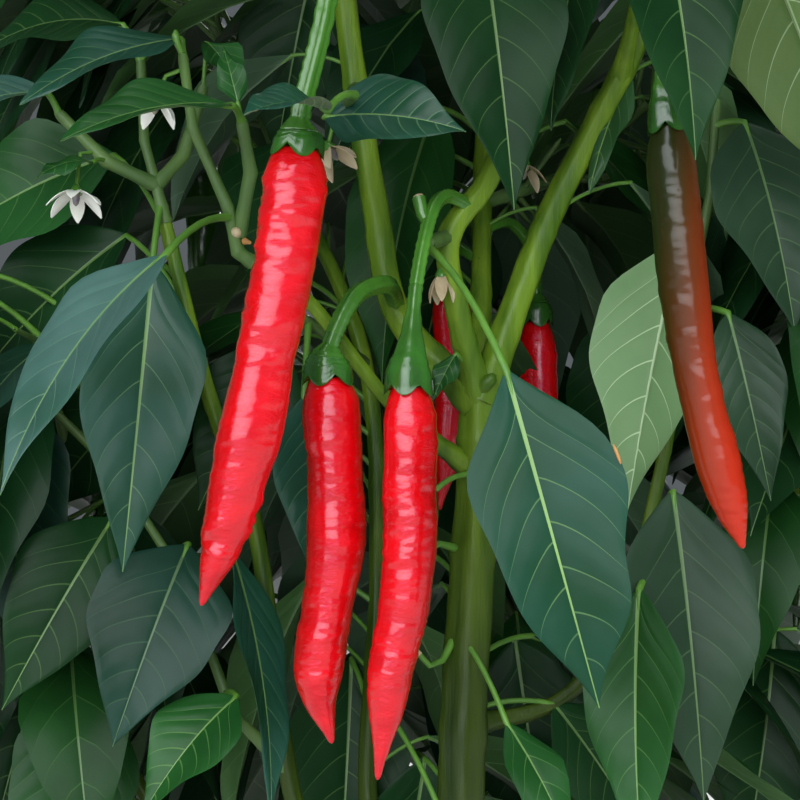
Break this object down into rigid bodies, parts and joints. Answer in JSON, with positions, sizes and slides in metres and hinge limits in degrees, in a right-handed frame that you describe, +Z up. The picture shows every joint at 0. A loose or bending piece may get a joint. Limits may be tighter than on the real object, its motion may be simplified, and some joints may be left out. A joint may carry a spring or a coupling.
{
  "type": "chilli pepper plant",
  "caption": "Rooted chilli pepper plant: a slender green stem forks into boughs with drooping pointed leaves and long hanging pods.",
  "frame": {"origin": "centre of the flat cut under the main stem, at ground level", "axes": "+Z up along the stem; -Y towards the viewer of the picture, +X to that viewer's right"},
  "size_m": [0.5685, 0.482, 0.7316],
  "materials": {
    "stem": "smooth green young bark, finely ridged, yellower at the forks",
    "stalk": "fluted glossy green fruit stalk and calyx",
    "leaf": "satin dark green blade with pale sunken veins, duller beneath",
    "red_pod": "wet-looking glossy red skin with shallow wrinkles",
    "turning_pod": "smooth glossy skin, green-brown above ripening to orange-red at the tip"
  },
  "bodies": {
    "root": {"trunk": "stem", "bough_left": "stem", "bough_front": "stem", "bough_right": "stem", "bough_back": "stem", "shoot_mid_left": "stem", "shoot_left": "stem", "shoot_behind": "stem", "shoot_right": "stem", "shoot_right_low": "stem", "shoot_left_low": "stem", "shoot_back": "stem", "limb_front_left": "stem", "limb_front_low": "stem", "limb_left_outer": "stem", "limb_left_inner": "stem", "limb_front_right": "stem", "limb_centre": "stem", "limb_right_outer": "stem", "limb_right_inner": "stem", "limb_back_left": "stem", "limb_back_right": "stem", "foliage_left_outer": "leaf", "foliage_left_top": "leaf", "foliage_front_left": "leaf", "foliage_front_right": "leaf", "foliage_top": "leaf", "foliage_right_outer": "leaf", "foliage_right_top": "leaf", "foliage_back_left": "leaf", "foliage_back_right": "leaf", "foliage_mid_left": "leaf", "foliage_mid_right": "leaf", "foliage_low_right": "leaf", "foliage_low_left": "leaf", "foliage_low_back": "leaf", "foliage_low_middle": "leaf", "foliage_low_behind": "leaf", "spray_front": "leaf", "spray_centre": "leaf", "spray_mid_left": "leaf", "spray_left": "leaf", "spray_low_left": "leaf", "spray_behind": "leaf", "spray_right": "leaf", "spray_low_right": "leaf", "spray_upper_right": "leaf", "spray_front_right": "leaf", "stalk_one": "stalk", "stalk_two": "stalk", "stalk_three": "stalk", "stalk_four": "stalk", "pod_one": "red_pod", "pod_two": "red_pod", "pod_three": "red_pod", "pod_four": "turning_pod", "pod_back_right": "red_pod", "pod_back_left": "red_pod"}
  },
  "joints": []
}
